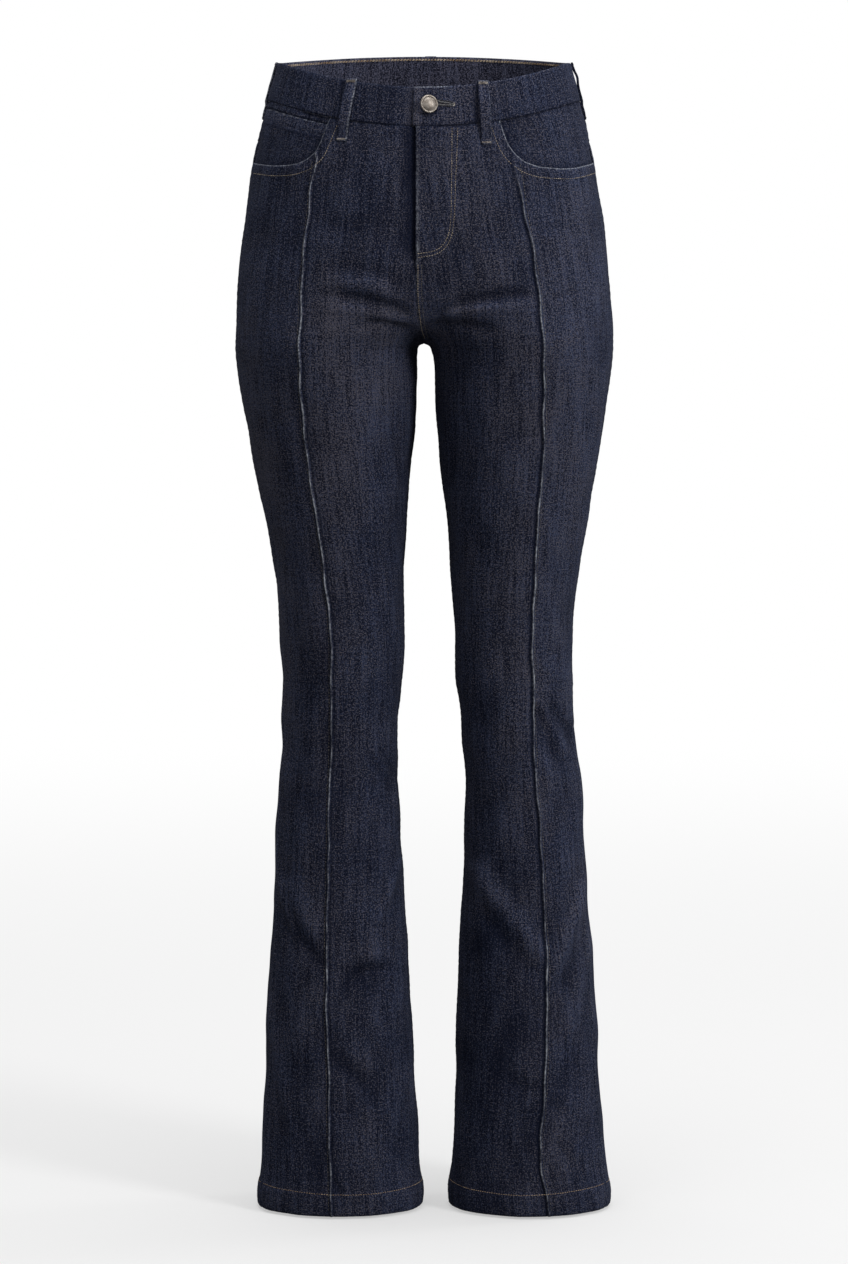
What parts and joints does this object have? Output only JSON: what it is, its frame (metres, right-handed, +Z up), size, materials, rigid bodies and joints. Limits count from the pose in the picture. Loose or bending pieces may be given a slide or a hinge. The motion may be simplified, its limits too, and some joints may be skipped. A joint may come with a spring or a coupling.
{
  "type": "bootcut jeans",
  "caption": "High-waisted bootcut denim jeans filled out as if worn, with a pintuck down each front, scooped pockets, belt loops and a waist button.",
  "frame": {"origin": "middle of the waist opening, level with the waistband's front edge, where the wearer's waist holds the garment up", "axes": "+Z up, -Y the wearer's front, +X the wearer's left"},
  "size_m": [0.362, 0.2433, 1.1147],
  "materials": {
    "front_right": "dark indigo twill denim, matt",
    "front_left": "dark indigo twill denim, matt",
    "back_right": "dark indigo twill denim, matt",
    "back_left": "dark indigo twill denim, matt",
    "yoke_right": "dark indigo twill denim, matt",
    "yoke_left": "dark indigo twill denim, matt",
    "waistband": "dark indigo twill denim, matt",
    "loop_front_right": "dark indigo twill denim, matt",
    "loop_front_left": "dark indigo twill denim, matt",
    "loop_side_right": "dark indigo twill denim, matt",
    "loop_side_left": "dark indigo twill denim, matt",
    "loop_back": "dark indigo twill denim, matt",
    "hip_right": "dark indigo twill denim, matt",
    "hip_left": "dark indigo twill denim, matt",
    "coin_pocket": "dark indigo twill denim, matt",
    "back_pocket_right": "dark indigo twill denim, matt",
    "back_pocket_left": "dark indigo twill denim, matt",
    "waist_button": "antique nickel, lightly worn"
  },
  "bodies": {
    "root": {"front_right": "front_right", "front_left": "front_left", "back_right": "back_right", "back_left": "back_left", "yoke_right": "yoke_right", "yoke_left": "yoke_left", "waistband": "waistband", "loop_front_right": "loop_front_right", "loop_front_left": "loop_front_left", "loop_side_right": "loop_side_right", "loop_side_left": "loop_side_left", "loop_back": "loop_back", "hip_right": "hip_right", "hip_left": "hip_left", "coin_pocket": "coin_pocket", "back_pocket_right": "back_pocket_right", "back_pocket_left": "back_pocket_left", "waist_button": "waist_button"}
  },
  "joints": []
}
